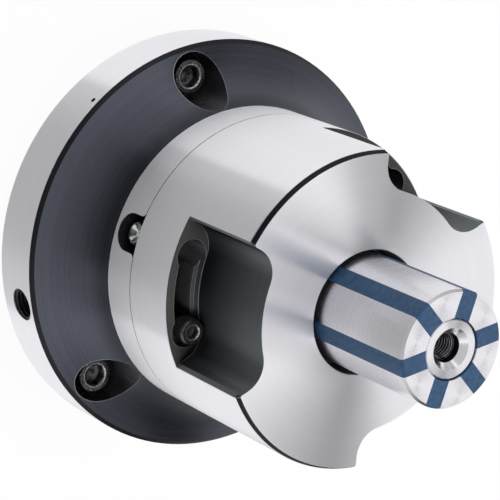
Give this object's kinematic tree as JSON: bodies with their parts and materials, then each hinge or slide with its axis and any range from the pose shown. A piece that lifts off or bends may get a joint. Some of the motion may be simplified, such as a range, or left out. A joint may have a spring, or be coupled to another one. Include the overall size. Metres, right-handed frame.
{
  "type": "expanding mandrel",
  "caption": "Draw-operated expanding mandrel: spindle flange with blackened cove, keyhole-locked pocketed body, and a steel bush whose rubber-joined segments spread over a taper core.",
  "frame": {"origin": "centre of the flange's back face, on the turning axis", "axes": "+Z along the turning axis, from the spindle face to the nose; +X and +Y across it"},
  "size_m": [0.21, 0.21, 0.2417],
  "materials": {
    "ground_steel": "fine turned and ground steel, with the flange's cove blackened",
    "turned_steel": "fine turned steel with blackened pockets",
    "black_screw": "black oxide",
    "zinc": "bright zinc plating",
    "hardened_steel": "hardened and ground",
    "nose_steel": "polished steel",
    "bronze": "machined bearing bronze",
    "blue_rubber": "matte blue moulded rubber",
    "seal_rubber": "matte black rubber"
  },
  "bodies": {
    "adapter": {"adapter_flange": "ground_steel", "flange_screw_1": "black_screw", "flange_screw_2": "black_screw", "flange_screw_3": "black_screw", "body_screw_1": "black_screw", "body_screw_2": "black_screw", "body_screw_3": "black_screw", "grease_nipple": "zinc", "coupling_key": "black_screw", "guide_bush": "bronze", "wiper_ring": "seal_rubber", "retaining_ring": "black_screw", "body_seal": "seal_rubber"},
    "mandrel": {"mandrel_body": "turned_steel", "taper_core": "hardened_steel", "core_screws": "black_screw", "core_pin": "hardened_steel", "guide_pin": "hardened_steel", "bolt_seal": "seal_rubber"},
    "puller": {"draw_bolt": "nose_steel", "rubber_web_1": "blue_rubber", "rubber_web_2": "blue_rubber", "rubber_web_3": "blue_rubber", "rubber_web_4": "blue_rubber", "rubber_web_5": "blue_rubber", "rubber_web_6": "blue_rubber"},
    "coupling": {"draw_coupling": "hardened_steel"},
    "segment_1_body": {"segment_1": "turned_steel"},
    "segment_2_body": {"segment_2": "turned_steel"},
    "segment_3_body": {"segment_3": "turned_steel"},
    "segment_4_body": {"segment_4": "turned_steel"},
    "segment_5_body": {"segment_5": "turned_steel"},
    "segment_6_body": {"segment_6": "turned_steel"}
  },
  "joints": [
    {"name": "bayonet_turn", "type": "hinge", "parent": "adapter", "child": "mandrel", "pos_m": [0, 0, 0.075], "axis": [0, 0, 1], "range_deg": [0, 31.7]},
    {"name": "draw_stroke", "type": "slide", "parent": "mandrel", "child": "puller", "axis": [0, 0, -1], "range_m": [0, 0.005]},
    {"name": "coupling_stroke", "type": "slide", "parent": "adapter", "child": "coupling", "axis": [0, 0, -1], "range_m": [0, 0.005]},
    {"name": "segment_1_spread", "type": "slide", "parent": "puller", "child": "segment_1_body", "axis": [0.7997, 0.6004, 0], "range_m": [0, 0.000625]},
    {"name": "segment_2_spread", "type": "slide", "parent": "puller", "child": "segment_2_body", "axis": [-0.1201, 0.9928, 0], "range_m": [0, 0.000625]},
    {"name": "segment_3_spread", "type": "slide", "parent": "puller", "child": "segment_3_body", "axis": [-0.9198, 0.3923, 0], "range_m": [0, 0.000625]},
    {"name": "segment_4_spread", "type": "slide", "parent": "puller", "child": "segment_4_body", "axis": [-0.7997, -0.6004, 0], "range_m": [0, 0.000625]},
    {"name": "segment_5_spread", "type": "slide", "parent": "puller", "child": "segment_5_body", "axis": [0.1201, -0.9928, 0], "range_m": [0, 0.000625]},
    {"name": "segment_6_spread", "type": "slide", "parent": "puller", "child": "segment_6_body", "axis": [0.9198, -0.3923, 0], "range_m": [0, 0.000625]}
  ],
  "couplings": [
    {"joint": "coupling_stroke", "follows": "draw_stroke", "ratio": 1},
    {"joint": "segment_1_spread", "follows": "draw_stroke", "ratio": 0.125},
    {"joint": "segment_2_spread", "follows": "draw_stroke", "ratio": 0.125},
    {"joint": "segment_3_spread", "follows": "draw_stroke", "ratio": 0.125},
    {"joint": "segment_4_spread", "follows": "draw_stroke", "ratio": 0.125},
    {"joint": "segment_5_spread", "follows": "draw_stroke", "ratio": 0.125},
    {"joint": "segment_6_spread", "follows": "draw_stroke", "ratio": 0.125}
  ]
}
